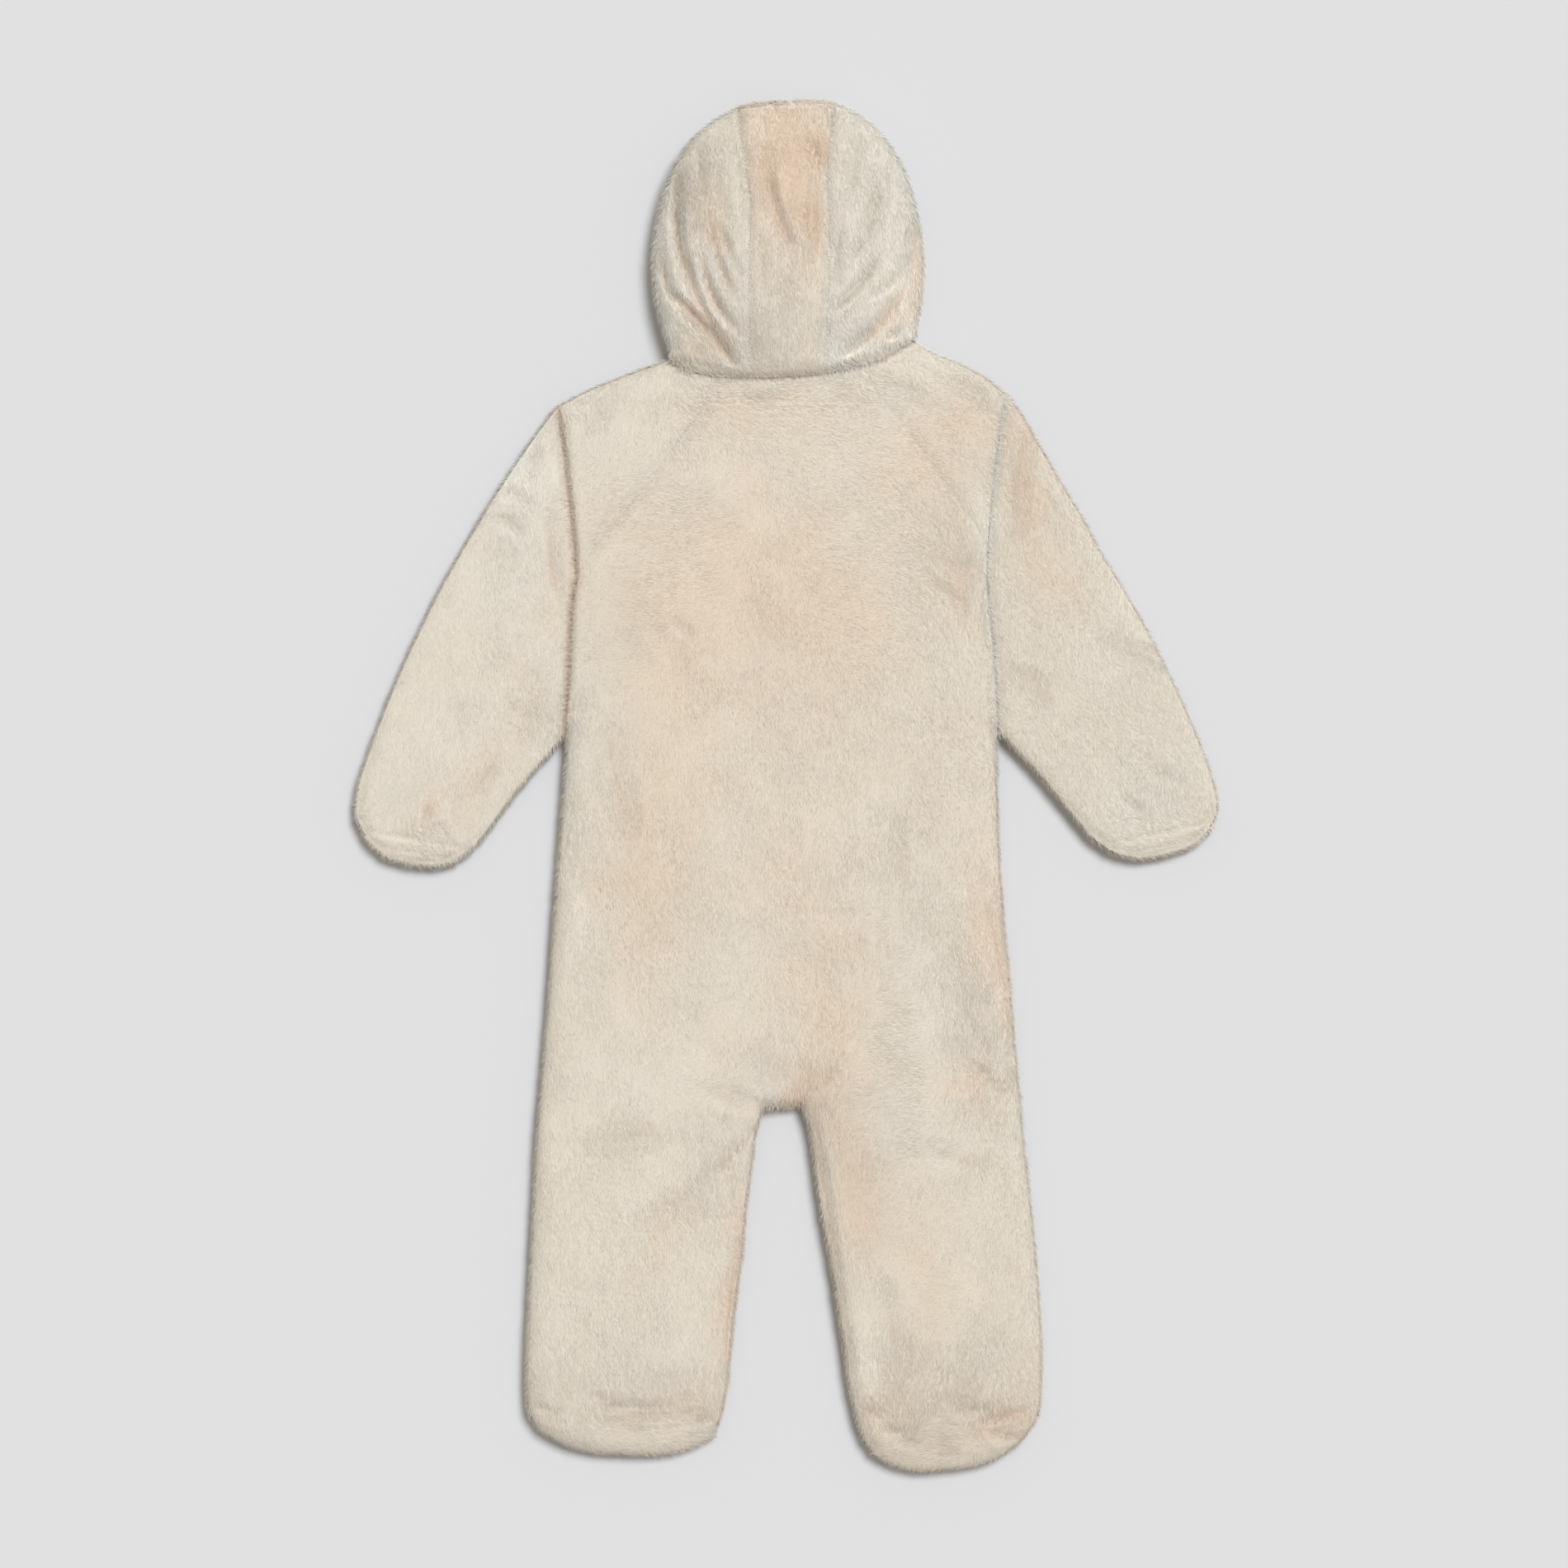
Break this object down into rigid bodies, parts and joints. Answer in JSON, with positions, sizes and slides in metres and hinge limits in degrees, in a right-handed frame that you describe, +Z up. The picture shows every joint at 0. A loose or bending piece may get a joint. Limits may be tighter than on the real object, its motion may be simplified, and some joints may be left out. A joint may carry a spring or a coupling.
{
  "type": "hooded fleece pramsuit",
  "caption": "Hooded plush fleece pramsuit for a baby, closed at the feet and hands, laid flat face down with the hood spread above the neck; the front zip is underneath.",
  "frame": {"origin": "on the surface that the suit lies on, under the middle of its length and width", "axes": "+Y from the feet to the hood, +Z up from the surface through the back, +X across to the picture's right"},
  "size_m": [0.5772, 0.9153, 0.036],
  "materials": {
    "fleece": "plush pile, matt with a soft sheen",
    "tape": "woven tape",
    "metal": "satin"
  },
  "bodies": {
    "suit": {"back": "fleece", "front_left": "fleece", "front_right": "fleece", "sleeve_left": "fleece", "sleeve_right": "fleece", "hood_centre": "fleece", "hood_side_left": "fleece", "hood_side_right": "fleece", "zip_tape": "tape", "zip_slider": "metal"},
    "pull_tab": {"zip_pull": "metal"}
  },
  "joints": [
    {"name": "pull_tab_swing", "type": "hinge", "parent": "suit", "child": "pull_tab", "pos_m": [0, 0.252, 0.00235], "axis": [1, 0, 0], "range_deg": [0, 165]}
  ]
}
